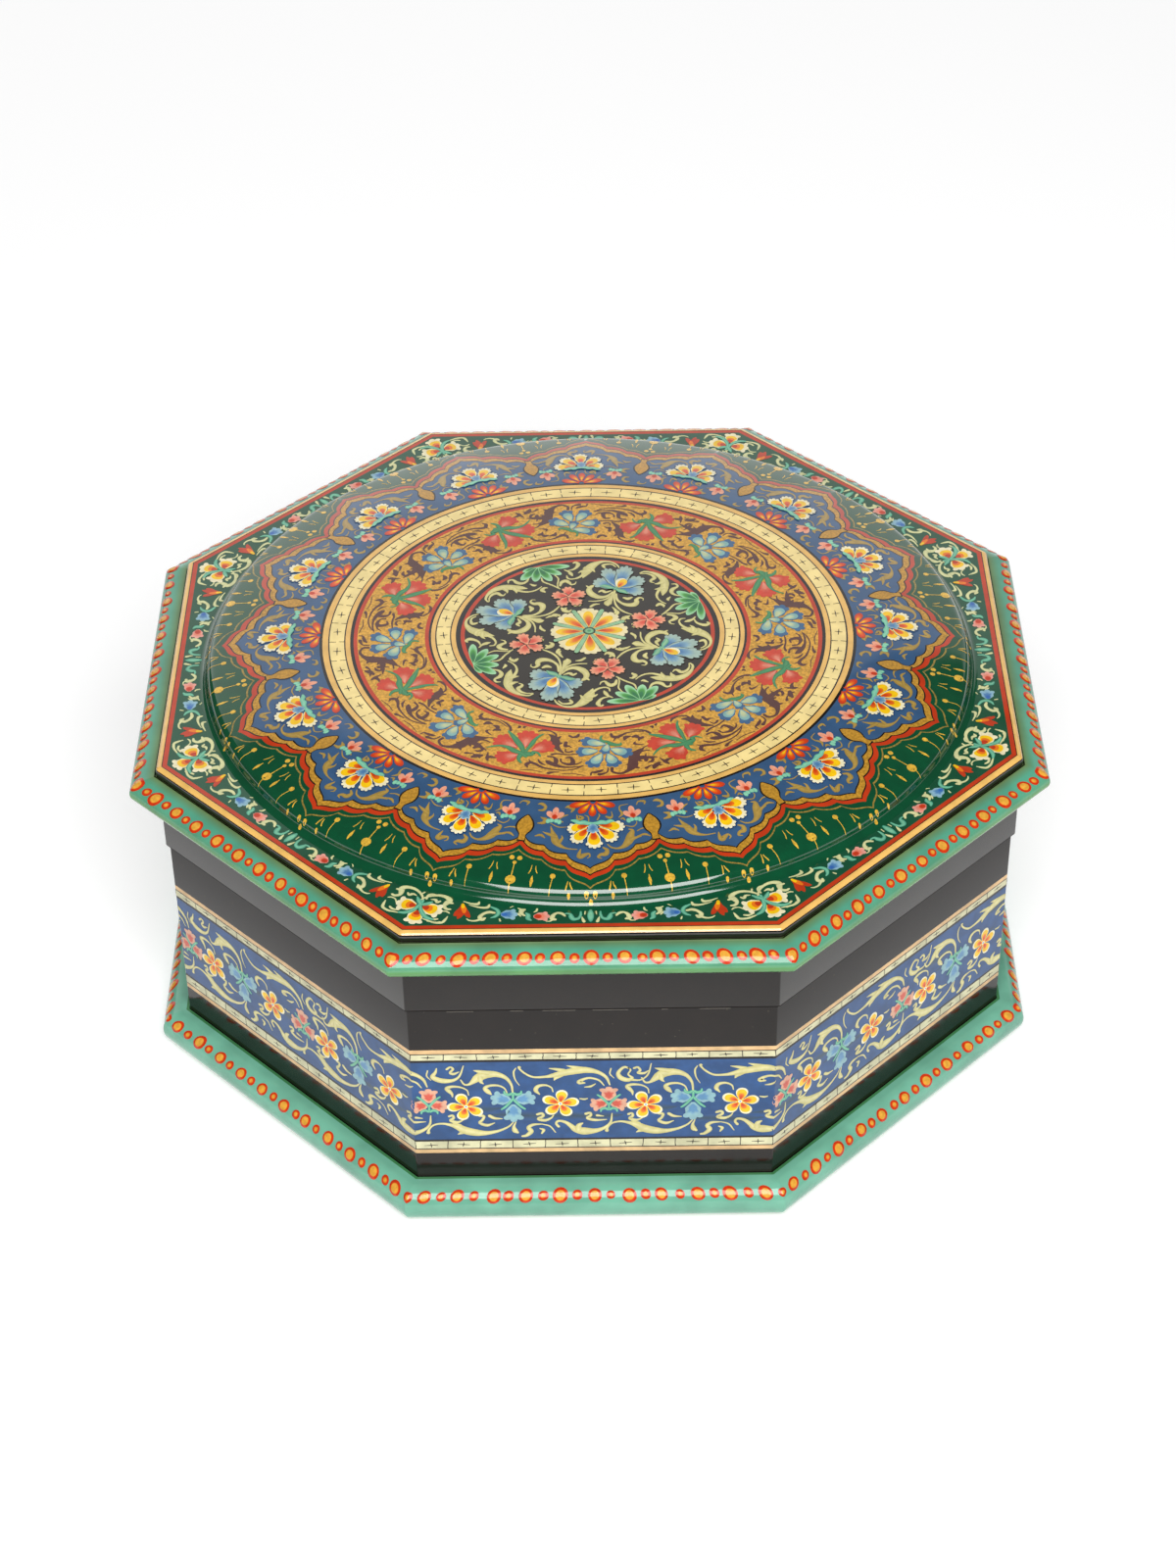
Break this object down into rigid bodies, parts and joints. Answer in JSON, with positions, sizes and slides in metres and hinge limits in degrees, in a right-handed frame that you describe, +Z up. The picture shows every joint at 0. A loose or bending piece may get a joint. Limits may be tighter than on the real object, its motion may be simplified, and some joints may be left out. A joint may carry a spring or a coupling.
{
  "type": "lidded octagonal box",
  "caption": "Octagonal lacquered papier mache box with a lift-off lid, half-round mouldings at lid and foot, and a raised round top painted with flowers.",
  "frame": {"origin": "middle of the underside, on the surface that the box stands on", "axes": "+Z up through the middle of the box; -Y out of one flat side, taken as the front"},
  "size_m": [0.2504, 0.2504, 0.1086],
  "materials": {
    "wall_lacquer": "gloss",
    "inner_lacquer": "satin",
    "moulding_lacquer": "gloss",
    "lid_lacquer": "gloss",
    "painted_ornament": "gloss",
    "gold_paint": "gloss"
  },
  "bodies": {
    "base": {"floor_board": "inner_lacquer", "base_wall_1": "wall_lacquer", "base_wall_2": "wall_lacquer", "base_wall_3": "wall_lacquer", "base_wall_4": "wall_lacquer", "base_wall_5": "wall_lacquer", "base_wall_6": "wall_lacquer", "base_wall_7": "wall_lacquer", "base_wall_8": "wall_lacquer", "collar_strip_1": "inner_lacquer", "collar_strip_2": "inner_lacquer", "collar_strip_3": "inner_lacquer", "collar_strip_4": "inner_lacquer", "collar_strip_5": "inner_lacquer", "collar_strip_6": "inner_lacquer", "collar_strip_7": "inner_lacquer", "collar_strip_8": "inner_lacquer", "foot_moulding_1": "moulding_lacquer", "foot_moulding_2": "moulding_lacquer", "foot_moulding_3": "moulding_lacquer", "foot_moulding_4": "moulding_lacquer", "foot_moulding_5": "moulding_lacquer", "foot_moulding_6": "moulding_lacquer", "foot_moulding_7": "moulding_lacquer", "foot_moulding_8": "moulding_lacquer"},
    "lid": {"lid_board": "lid_lacquer", "lid_raised_disc": "lid_lacquer", "lid_skirt_1": "wall_lacquer", "lid_skirt_2": "wall_lacquer", "lid_skirt_3": "wall_lacquer", "lid_skirt_4": "wall_lacquer", "lid_skirt_5": "wall_lacquer", "lid_skirt_6": "wall_lacquer", "lid_skirt_7": "wall_lacquer", "lid_skirt_8": "wall_lacquer", "lid_moulding_1": "moulding_lacquer", "lid_moulding_2": "moulding_lacquer", "lid_moulding_3": "moulding_lacquer", "lid_moulding_4": "moulding_lacquer", "lid_moulding_5": "moulding_lacquer", "lid_moulding_6": "moulding_lacquer", "lid_moulding_7": "moulding_lacquer", "lid_moulding_8": "moulding_lacquer"}
  },
  "joints": [
    {"name": "lid_lift", "type": "slide", "parent": "base", "child": "lid", "axis": [0, 0, 1], "range_m": [0, 0.12]}
  ]
}
